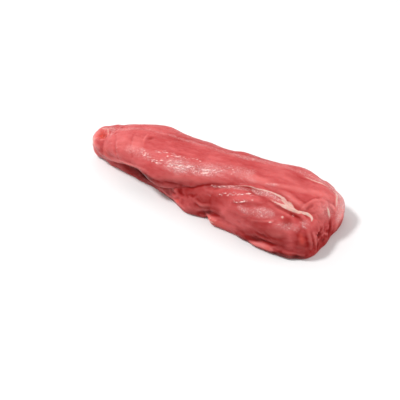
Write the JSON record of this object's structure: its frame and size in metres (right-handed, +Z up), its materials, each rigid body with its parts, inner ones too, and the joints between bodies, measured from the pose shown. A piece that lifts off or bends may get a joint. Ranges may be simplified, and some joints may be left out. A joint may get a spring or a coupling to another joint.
{
  "type": "pork tenderloin",
  "caption": "Raw, trimmed tenderloin: a long tapering muscle with overlapping lobes, a furrow with a strip of fat, and a folded thick end, lying on its flat underside.",
  "frame": {"origin": "middle of the footprint, on the surface that the meat lies on", "axes": "+X along the muscle towards its thick end, +Z up, and -Y the side with the open lobes and furrows"},
  "size_m": [0.2586, 0.081, 0.0401],
  "materials": {
    "raw_meat": null
  },
  "bodies": {
    "root": {"tenderloin": "raw_meat"}
  },
  "joints": []
}
